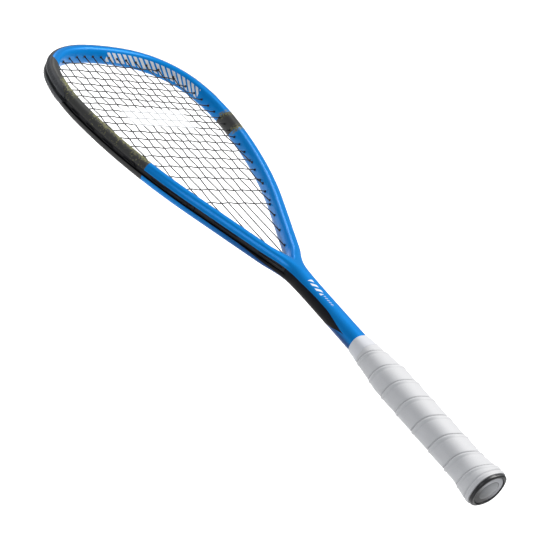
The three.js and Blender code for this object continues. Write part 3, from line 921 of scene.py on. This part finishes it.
# %% String finish
STENCIL_ACROSS = (-42.0, 42.0)
STENCIL_ALONG = (539.0, 573.0)
STRING_DARK = (0.006, 0.006, 0.008, 1)
STRING_LIGHT = (0.018, 0.018, 0.021, 1)
STENCIL_WHITE = (0.72, 0.73, 0.74, 1)
string_finish, wires, socket = new_material("waxed_string", STRING_LIGHT[:3], 0.38, Specular_IOR_Level=0.3)
x, y, z = wires.place_mm()
ink = wires.times(band(wires, x, *STENCIL_ACROSS, 0.4), band(wires, y, *STENCIL_ALONG, 0.4))
twist = grain(wires, 900.0, 150.0)
black_string = wires.mix(twist["Cloud"], STRING_DARK, STRING_LIGHT)
wires.put(socket["Base Color"], wires.mix(ink, black_string, STENCIL_WHITE))
wires.put(socket["Roughness"], wires.blend(ink, 0.38, 0.7))
wires.put(socket["Normal"], bump(wires, twist["Height"], 0.04, 0.6))

# %% Both strings
for name, route in routes.items():
    strung = grow(name + "_strung", chain(route), string_tree,
                  {"Radius": STRING_RADIUS * MM, "Sides": 8, "Material": string_finish})
    done(strung, None, "string", name + "_string")

# %% [markdown]
# Grommets are nylon barrels on a strip that lies in the groove. They keep the strings off the
# sharp edge of the graphite. One barrel is turned as a mesh of ninety faces, and Geometry Nodes
# set it at every string end: a point for each, with the barrel's direction and length kept on
# the point. The strip is swept along the hoop and joined to its barrels. The tube's skin isn't
# drilled and the barrels have no bore: each barrel and string simply passes through.

# %% Nylon finishes
strip_nylon, guard_nylon = [
    two_tone(name, dark, light, (0.36, 0.2), (1500.0, 120.0), (0.05, 0.6), Specular_IOR_Level=0.4)
    for name, dark, light in (
        ("strip_nylon", (0.006, 0.006, 0.007), (0.014, 0.014, 0.016)),
        ("guard_nylon", (0.036, 0.038, 0.042), (0.078, 0.081, 0.088)))]
print("nylon:", strip_nylon.name, guard_nylon.name)

# %% One barrel, and the tree that sets it at the string ends
BARREL_TURNED = [
    (0.05, 0.0), (0.05, 0.8), (0.01, 0.95), (0.0, 1.1), (0.0, 1.28), (0.02, 1.4), (0.93, 1.4),
    (0.97, 1.6), (1.0, 1.9), (1.0, 0.0)]
BARREL_SIDES = 10
BARREL_TIP = -7.1
STRIP_FLOOR = 3.3
barrel_angles = [2 * math.pi * k / BARREL_SIDES for k in range(BARREL_SIDES)]
barrel_rings = [
    [Vector((radius * math.cos(angle), share / MM, radius * math.sin(angle))) for angle in barrel_angles]
    for share, radius in BARREL_TURNED]
barrel = finished("one_barrel", flat(barrel_rings), skin(barrel_rings))

barrel_tree, wires, given, result = growth_tree(
    "barrels_on_strip", {"Barrel": "Object", "Strip": "Object", "Girth": "Float", "Material": "Material"})
facing, reach = [
    wires.node("GeometryNodeInputNamedAttribute", {"Name": name}, data_type=kind).outputs[0]
    for name, kind in (("facing", "FLOAT_VECTOR"), ("reach", "FLOAT"))]
size = wires.node("ShaderNodeCombineXYZ", {0: given["Girth"], 1: reach, 2: given["Girth"]}).outputs[0]
barrels = wires.node("GeometryNodeInstanceOnPoints", {
    "Points": given["Geometry"], "Instance": mesh_of(wires, given["Barrel"]),
    "Rotation": facing_along(wires, facing, "Y"), "Scale": size}).outputs[0]
both = joined(wires, barrels, mesh_of(wires, given["Strip"]))
finish_tree(wires, both, given["Material"], result)

all_ends = [main_end(i, side, way) for side in (-1, 1) for i in range(MAINS_PER_SIDE) for way in (-1, 1)]
all_ends += [cross_end(row, side) for side in (-1, 1) for row in range(CROSSES)]
print(len(all_ends), "string ends")

# %% Sweeping a strip and setting its barrels
SWEEP_STEP = 3.0
STRIP_HALF = [(3.3, 2.4), (3.5, 2.6), (3.85, 2.6), (4.0, 2.4)]
STRIP_SECTION = [(outward, -z) for outward, z in STRIP_HALF] + STRIP_HALF[::-1]


def swept(name, start, stop, section_at):
    """A closed bar along the hoop. section_at gives its outline of (outward, z) at a distance."""
    steps = math.ceil((stop - start) / SWEEP_STEP)
    rings = []
    for k in range(steps + 1):
        s = start + (stop - start) * k / steps
        centre, normal = hoop_place(s)
        rings.append([centre + normal * outward + Vector((0, 0, z)) for outward, z in section_at(s)])
    return finished(name, flat(rings), capped(rings))


def with_barrels(name, base, start, stop, nylon):
    ends = [end for end in all_ends if start < end["s"] < stop]
    mesh = bpy.data.meshes.new("ends")
    starts = [out_of(end, (BARREL_TIP - BEND) / end["axis"].dot(end["normal"])) for end in ends]
    mesh.from_pydata([p * MM for p in starts], [], [])
    mesh.attributes.new("facing", "FLOAT_VECTOR", "POINT")
    mesh.attributes.new("reach", "FLOAT", "POINT")
    for k, end in enumerate(ends):
        mesh.attributes["facing"].data[k].vector = end["axis"]
        reach = (out_of(end, end["length"]) - starts[k]).length - (LOOP - STRIP_FLOOR)
        mesh.attributes["reach"].data[k].value = reach * MM
    made = grow(name, bpy.data.objects.new("ends", mesh), barrel_tree,
                {"Barrel": barrel, "Strip": base, "Girth": 1.0, "Material": nylon})
    bpy.data.objects.remove(base)
    return made


SIDE_STRIP = (163.0, 351.0)
THROAT_STRIP = (352.0, 463.0)
for side, word in ((1, "right"), (-1, "left")):
    for part, (near, far) in (("side", SIDE_STRIP), ("throat", THROAT_STRIP)):
        start, stop = sorted((side * near, side * far))
        base = swept("strip_base", start, stop, lambda s: STRIP_SECTION)
        strip = with_barrels(f"{word}_{part}_strip", base, start, stop, strip_nylon)
        done(strip, None, "guard_nylon", f"{word}_{part}_grommets")

# %% [markdown]
# The bumper guard is the grommet strip of the head with a flange on each side that wraps the
# outer face of the tube, where it scrapes along walls. Its flanges follow the tube's own
# outline, so they are worked out from it, and they taper off at both ends. Close ribs across
# the flanges give the guard its grip on the wall: a tree sets one rib at an even pitch.

# %% Bumper guard
GUARD_HALF_LENGTH = 162.0
GUARD_THICKNESS = 1.55
GUARD_EDGE, GUARD_EDGE_AT_ENDS = 9.0, 4.2
GUARD_TAPER = 16.0
END_THICKNESS = 0.45
CLEARANCE = 0.1
CHANNEL_HALF_WIDTH = 2.0
CHANNEL_FLOOR = 4.0
FOOT_HALF_WIDTH = 2.7
FLANGE_START = 3.1
FLANGE_STEPS = 9
BEAD_HEIGHT, BEAD_REACH = 0.25, 0.35


def tube_face(z):
    """How far outward the tube's own face lies at height z."""
    return bulge(z / TUBE_HALF_DEPTH) * TUBE_HALF_WIDTH


def guard_section(s):
    """A foot in the groove, a flange over the tube's face on each side, and a channel for the strings."""
    ends = smooth(GUARD_HALF_LENGTH, GUARD_HALF_LENGTH - GUARD_TAPER, abs(s))
    edge = GUARD_EDGE_AT_ENDS + (GUARD_EDGE - GUARD_EDGE_AT_ENDS) * math.sqrt(ends)
    thick = GUARD_THICKNESS * (END_THICKNESS + (1 - END_THICKNESS) * ends)
    half = [(STRIP_FLOOR, 0.0), (STRIP_FLOOR, FOOT_HALF_WIDTH), (tube_face(3.0) + CLEARANCE, FOOT_HALF_WIDTH)]
    for k in range(FLANGE_STEPS + 1):
        z = FLANGE_START + (edge - FLANGE_START) * k / FLANGE_STEPS
        half.append((tube_face(z) + CLEARANCE, z))
    half.append((tube_face(edge) + 0.45 * thick, edge + 0.25))
    for k in range(FLANGE_STEPS + 1):
        z = edge - 0.1 + (CHANNEL_HALF_WIDTH + 0.3 - edge) * k / FLANGE_STEPS
        bead = BEAD_HEIGHT * math.exp(-(((z - edge + 0.5) / BEAD_REACH) ** 2))
        half.append((tube_face(z) + thick * (0.55 + 0.45 * smooth(edge, edge - 2.5, z)) + bead, z))
    half += [
        (tube_face(CHANNEL_HALF_WIDTH) + thick - 0.2, CHANNEL_HALF_WIDTH),
        (CHANNEL_FLOOR + 0.2, CHANNEL_HALF_WIDTH), (CHANNEL_FLOOR, CHANNEL_HALF_WIDTH - 0.2),
        (CHANNEL_FLOOR, 0.0)]
    return half + [(outward, -z) for outward, z in reversed(half[1:-1])]


# %% Ribs of the guard
RIB_PITCH = 4.2
RIB_HEIGHT = 0.6
RIB_SINK = 0.15
RIB_FOOT, RIB_REACH = 2.5, 5.3
RIB_RINGS = 8
RIB_SECTION = [(-0.9, 0), (-0.65, 0.85), (0.0, 1.0), (0.65, 0.85), (0.9, 0)]
RIBBED_HALF = GUARD_HALF_LENGTH - GUARD_TAPER


def one_rib():
    """A rib over both flanges, in a frame where Y is outward and X runs along the hoop."""
    points, faces = [], []
    for side in (1, -1):
        rings = []
        for k in range(RIB_RINGS):
            z = RIB_FOOT + RIB_REACH * k / (RIB_RINGS - 1)
            low = tube_face(z) + GUARD_THICKNESS - RIB_SINK
            rise = RIB_HEIGHT * math.sin(math.pi * (k + 0.6) / (RIB_RINGS + 0.2))
            rings.append([Vector((x, low + up * rise, side * z)) for x, up in RIB_SECTION])
        faces += [tuple(i + len(points) for i in f) for f in capped(rings)]
        points += flat(rings)
    return finished("one_rib", points, faces)


rib_tree, wires, given, result = growth_tree(
    "ribs_along_guard", {"Rib": "Object", "Guard": "Object", "Pitch": "Float", "Material": "Material"})
curve = wires.node("GeometryNodeMeshToCurve", {0: given["Geometry"]}).outputs[0]
spaced = wires.node("GeometryNodeResampleCurve", {"Curve": curve, "Length": given["Pitch"]}, mode="LENGTH")
tangent = wires.node("GeometryNodeInputTangent").outputs[0]
ribs = wires.node("GeometryNodeInstanceOnPoints", {
    "Points": spaced.outputs[0], "Instance": mesh_of(wires, given["Rib"]),
    "Rotation": facing_along(wires, tangent, "X")}).outputs[0]
both = joined(wires, ribs, mesh_of(wires, given["Guard"]))
finish_tree(wires, both, given["Material"], result)

body = swept("guard_body", -GUARD_HALF_LENGTH, GUARD_HALF_LENGTH, guard_section)
rib = one_rib()
ribbed_line = chain([hoop_place(-RIBBED_HALF + k * 2)[0] for k in range(int(RIBBED_HALF) + 1)])
ribbed = grow("ribbed_body", ribbed_line, rib_tree,
              {"Rib": rib, "Guard": body, "Pitch": RIB_PITCH * MM, "Material": guard_nylon})
guard = with_barrels("ribbed_guard", ribbed, -GUARD_HALF_LENGTH, GUARD_HALF_LENGTH, guard_nylon)
done(guard, None, "guard_nylon", "bumper_guard")
for spare in (rib, barrel, body):
    bpy.data.objects.remove(spare)

# %% [markdown]
# The grip is a strip of cushioned, leather-like foam wound round the handle from the butt up.
# Each turn butts against the last, so the seam climbs as a helix: the edge of a turn stands up
# as a soft roll, and the next turn drops away from it. The mesh is a fine grid round the
# handle, and the seam is pressed into it by its distance from the helix, because a seam drawn
# only by a bump map would leave the outline straight.

# %% Cushion grip
GRIP_SECTIONS = [
    (3.3, 19.8, 17.6), (6, 20.5, 18.2), (10, 20.2, 17.9), (16, 19.2, 17), (22, 18.1, 16.1), (28, 17.2, 15.3),
    (60, 17.1, 15.2), (141, 17.1, 15.2), (152, 15.6, 14.1), (164, 14, 12.9), (175.6, 12.45, 11.85),
]
HANDLE_ROUNDNESS = 2.4
GRIP_START, GRIP_END = 3.3, 175.7
GRIP_WALL = 2.0
SEAMS_ON_TOP = [15.0, 33.0, 55.0, 78.5, 102.5, 124.5, 145.5, 167.0]
SEAM_PITCH = 23.0
HEM = 7.8
GRIP_SIDES = 132
GRIP_STEP = 0.5


def hump(distance, reach):
    """1 at no distance, fading away smoothly beyond the reach."""
    return math.exp(-((distance / reach) ** 2))


def past_seam(y, angle):
    """How many mm past the nearest seam a point lies, and its share of a turn."""
    k = 0
    while k < len(SEAMS_ON_TOP) - 2 and y > SEAMS_ON_TOP[k + 1]:
        k += 1
    turn = k + (y - SEAMS_ON_TOP[k]) / (SEAMS_ON_TOP[k + 1] - SEAMS_ON_TOP[k])
    turn += (angle if angle < math.pi else angle - 2 * math.pi) / (2 * math.pi)
    return (turn - round(turn)) * SEAM_PITCH, turn - math.floor(turn)


def seam_fade(y):
    return smooth(HEM + 1.0, HEM + 3.5, y) * smooth(GRIP_END, GRIP_END - 3, y)


def seam_relief(y, angle):
    """How far the surface stands out or in: a crease, the roll beside it and a faint second line."""
    away, share = past_seam(y, angle)
    seam = 0.42 * hump(away + 2.0, 1.4) - 0.95 * hump(away, 0.55) - 0.16 * hump(away + 4.4, 0.5)
    hem = 0.22 * hump(y - HEM + 1.9, 1.0) - 0.6 * hump(y - HEM, 0.55)
    return (seam + 0.34 * (share - 0.5)) * seam_fade(y) + hem


def seam_shade(y, angle):
    """How dark the grip is there: painted shade in its creases, at the seams and at the hem."""
    away, share = past_seam(y, angle)
    # painted shade, full on the +x side of the handle where the key light rakes across the creases, and down
    # to 0.4 on the -x side
    shade_by_side = 0.4 + 0.6 * smooth(-0.9, 0.3, math.sin(angle))
    seam = hump(away, 0.7) + 0.25 * hump(away + 4.4, 0.5)
    return shade_by_side * (seam_fade(y) * seam + 0.6 * hump(y - HEM, 0.6))


def grip_ring(y, grow_by=0.0, relief=True):
    """A ring of points, and for each its shade and its height as a UV pair."""
    half_width, half_depth = eased(GRIP_SECTIONS, y, 2.0)
    points, pairs = [], []
    for i in range(GRIP_SIDES):
        angle = 2 * math.pi * i / GRIP_SIDES
        across, up = math.sin(angle), math.cos(angle)
        out = grow_by + (seam_relief(y, angle) if relief else 0)
        points.append(Vector((
            squared(across, HANDLE_ROUNDNESS) * half_width + across * out, y,
            squared(up, HANDLE_ROUNDNESS) * half_depth + up * out)))
        pairs.append((seam_shade(y, angle) if relief else 0.0, y * MM))
    return points, pairs


def grip_rings():
    """Down the inner wall, round the lip at the butt and up the outside. The inner wall is never
    seen: it has few rings, and isn't fitted to the pieces inside it."""
    inner = [grip_ring(y, -GRIP_WALL, False) for y in (GRIP_END, 160.0, 100.0, 30.0, GRIP_START)]
    roll_in = [grip_ring(GRIP_START, grow, False) for grow in (-1.6, -0.7)]
    first = GRIP_START + GRIP_STEP / 2
    steps = round((GRIP_END - first) / GRIP_STEP)
    outer = [grip_ring(first + (GRIP_END - first) * k / steps) for k in range(steps + 1)]
    return inner + roll_in + outer


made = grip_rings()
rings = [points for points, _ in made]
grip = finished("wound_grip", flat(rings), looped(rings), flat(pairs for _, pairs in made), math.radians(60))

# %% Grip finish
GRIP_CLEAN = (0.63, 0.632, 0.645, 1)
GRIP_SOILED = (0.53, 0.533, 0.548, 1)
PAINTED_CREASE_SHADE = (0.12, 0.12, 0.13, 1)
cushion, wires, socket = new_material("cushion_wrap", (0.6, 0.6, 0.61), 0.5, Specular_IOR_Level=0.3)
leather = grain(wires, 1100.0, 40.0)
pores = wires.node("ShaderNodeTexVoronoi", {
    "Vector": wires.node("ShaderNodeTexCoord").outputs["Object"], "Scale": 1500.0}).outputs["Distance"]
soil = wires.times(leather["Cloud"], wires.rise(pores, 0.5, 0.1))
clean = wires.mix(soil, GRIP_CLEAN, GRIP_SOILED)
surface = wires.node("ShaderNodeUVMap", uv_map="surface").outputs[0]
shade = wires.node("ShaderNodeSeparateXYZ", {0: surface}).outputs[0]
# painted shade: the creases are drawn towards a dark grey by the shade kept in the UV map
wires.put(socket["Base Color"], wires.mix(wires.times(shade, 0.8), clean, PAINTED_CREASE_SHADE))
wires.put(socket["Roughness"], wires.plus(0.42, wires.times(leather["Cloud"], 0.16)))
tooth = wires.plus(wires.times(leather["Height"], 0.6), wires.times(pores, 0.5))
wires.put(socket["Normal"], bump(wires, tooth, 0.06, 0.5))
done(grip, cushion, "grip_cushion", "cushion_grip")

# %% [markdown]
# The top of the grip is closed by a smooth finishing tape, wound over the last turn and onto
# the shaft. It is thin, so its end shows only as a low step with a soft edge.

# %% Finishing tape
TAPE_START, TAPE_END = 175.9, 190.5
TAPE_PROFILE = [
    (TAPE_START, 1.9), (TAPE_START + 0.3, 2.15), (177.5, 2.1), (180.0, 1.8), (183.0, 1.45), (187.0, 1.0),
    (189.4, 0.85), (TAPE_END - 0.25, 0.75), (TAPE_END, 0.45), (TAPE_END, 0.02), (TAPE_START, 0.02),
]
SHAFT_HALF = between(SHAFT_SECTIONS, TAPE_START)
TAPE_SIDES = 72
tape_rings = [
    ring(y, SHAFT_HALF[0] + out, SHAFT_HALF[1] + out, TUBE_ROUNDNESS, TAPE_SIDES) for y, out in TAPE_PROFILE]
tape = finished("wound_tape", flat(tape_rings), looped(tape_rings))
tape_finish = two_tone(
    "finishing_band", (0.70, 0.71, 0.74), (0.64, 0.65, 0.69), (0.3, 0.12), (700.0, 60.0), (0.02, 0.4))
done(tape, tape_finish, "grip_tape", "finishing_tape")

# %% [markdown]
# The butt cap is one moulded plug: a rounded black rim round a shallow oval recess, and a skirt
# inside the handle that two staples hold. The badge in the recess is a metallised disc with a
# plain domed middle, and its colour carries a painted highlight towards the upper right and
# painted shade towards the lower left. Both are turned outlines squeezed to an oval.

# %% Butt cap
CAP_OUTLINE = [
    (1.75, 0.0, 0.0), (1.75, 16.4, 14.8), (0.5, 16.45, 14.85), (0.12, 16.6, 15.0), (0.0, 16.9, 15.3),
    (0.0, 17.4, 15.8), (0.15, 18.0, 16.4), (0.6, 18.6, 17.0), (1.3, 18.8, 17.2), (2.7, 18.8, 17.2),
    (3.1, 18.4, 16.8), (3.2, 17.6, 15.5), (10, 17.6, 15.5), (16, 16.7, 14.6), (26, 15.1, 13.3),
    (26, 14.5, 12.7), (3.4, 14.5, 12.7), (3.2, 0.0, 0.0),
]
CAP_SIDES = 88


def oval(y, half_width, half_depth):
    """The cap's outlines turn from an oval at the recess to the handle's rounded oblong at the rim."""
    squareness = 1.0 if y > 3 else smooth(16.7, 18.5, half_width)
    roundness = 2.0 + (HANDLE_ROUNDNESS - 2.0) * squareness
    return ring(y, half_width, half_depth, roundness, CAP_SIDES)


cap_rings = [oval(*section) for section in CAP_OUTLINE]
cap = finished("rimmed_cap", flat(cap_rings), skin(cap_rings), sharp=math.radians(45))
cap_finish = two_tone(
    "cap_plastic", (0.010, 0.010, 0.012), (0.022, 0.022, 0.025), (0.28, 0.2), (1800.0, 90.0), (0.04, 0.5))
done(cap, cap_finish, "cap_plastic", "butt_cap")

# %% Butt badge
BADGE_HALF = (16.2, 14.6)
BADGE_BACK = 1.4
BADGE_SIDES = 96
BADGE_RINGS = 40
DOME_SHARE = 0.66
BADGE_INK = (0.012, 0.012, 0.014, 1)


def badge_height(share):
    """How deep the face lies below the rim at a share of the radius: a flat ring round a dome."""
    dome = 0.85 - 0.7 * math.sqrt(max(0.0, 1 - (share / (DOME_SHARE + 0.02)) ** 2))
    flat_ring = 0.62 + 0.5 * smooth(0.96, 1.0, share)
    return dome if share < DOME_SHARE else flat_ring


badge_levels = [(badge_height(k / BADGE_RINGS), k / BADGE_RINGS) for k in range(BADGE_RINGS + 1)]
badge_levels += [(BADGE_BACK, 1.0), (BADGE_BACK, 0.0)]
badge_rings = [
    ring(y, BADGE_HALF[0] * share, BADGE_HALF[1] * share, 2.0, BADGE_SIDES) for y, share in badge_levels]
badge = finished("domed_badge", flat(badge_rings), skin(badge_rings), sharp=math.radians(30))

badge_finish, wires, socket = new_material("metallised_badge", (0.3, 0.31, 0.33), 0.4)
x, y, z = wires.place_mm()
across = wires.math("DIVIDE", x, BADGE_HALF[0])
up = wires.math("DIVIDE", z, BADGE_HALF[1])
brushed = wires.node("ShaderNodeMapping", {
    "Vector": wires.node("ShaderNodeTexCoord").outputs["Object"], "Scale": (60.0, 900.0, 2200.0)}).outputs[0]
streaks = wires.node("ShaderNodeTexNoise", {"Vector": brushed, "Scale": 1.0, "Detail": 2.0}).outputs[0]
radius = wires.math("SQRT", wires.plus(wires.math("POWER", across, 2.0), wires.math("POWER", up, 2.0)))
moat = band(wires, radius, DOME_SHARE - 0.02, DOME_SHARE + 0.03, 0.01)
# painted light: the flat ring and the dome are light towards the upper right as a painted highlight, and dark
# towards the lower left as painted shade
painted_light_side = wires.rise(wires.plus(wires.times(across, 0.6), wires.times(up, 0.8)), -0.7, 0.4)
ring_painted_light = wires.mix(painted_light_side, (0.010, 0.010, 0.012, 1), (0.46, 0.47, 0.50, 1))
dome_painted_light = wires.mix(painted_light_side, (0.12, 0.125, 0.13, 1), (0.34, 0.35, 0.37, 1))
tone = wires.mix(wires.rise(radius, DOME_SHARE, DOME_SHARE - 0.02), ring_painted_light, dome_painted_light)
drawn = wires.times(moat, 0.7)
wires.put(socket["Base Color"], wires.mix(drawn, tone, BADGE_INK))
wires.put(socket["Metallic"], wires.blend(drawn, 0.45, 0.0))
wires.put(socket["Roughness"], wires.plus(0.32, wires.times(streaks, 0.2)))
wires.put(socket["Normal"], bump(wires, streaks, 0.02, 0.3))
done(badge, badge_finish, "badge", "butt_badge")

# %% [markdown]
# What is hidden in the handle stays as the engineering model holds it: the two foam pallets
# that give the handle its shape, the staples that hold the cap, and a foam plug in the end of
# the shaft. Each still gets its own finish, because the handle may be shown opened.

# %% Hidden pieces and knots


def finish_kept(material, slot, *nodes):
    """Gives pieces that keep their shape a finish, and prints the slot's name and the count."""
    for name in nodes:
        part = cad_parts[name]
        part.data.materials.clear()
        part.data.materials.append(material)
    print(slot, "on", len(nodes), "pieces")


HIDDEN = [
    ("pallet_foam", (0.48, 0.37, 0.20), (0.62, 0.50, 0.30), 0.80, 900.0, 0.15, 0.0,
     "right_pallet", "left_pallet"),
    ("plug_foam", (0.05, 0.05, 0.055), (0.11, 0.115, 0.12), 0.85, 700.0, 0.3, 0.0, "handle_plug"),
    ("staple_steel", (0.45, 0.46, 0.48), (0.60, 0.61, 0.63), 0.30, 2500.0, 0.01, 1.0,
     "right_cap_staple", "left_cap_staple"),
]
for slot, dark, light, least, size, depth, metallic, *nodes in HIDDEN:
    finish = two_tone(
        slot, dark, light, (least, 0.1), (size, size / 12), (depth, 0.8), "Height", Metallic=metallic)
    finish_kept(finish, slot, *nodes)
finish_kept(string_finish, "string", "right_mains_knot", "left_mains_knot",
            "upper_crosses_knot", "lower_crosses_knot")
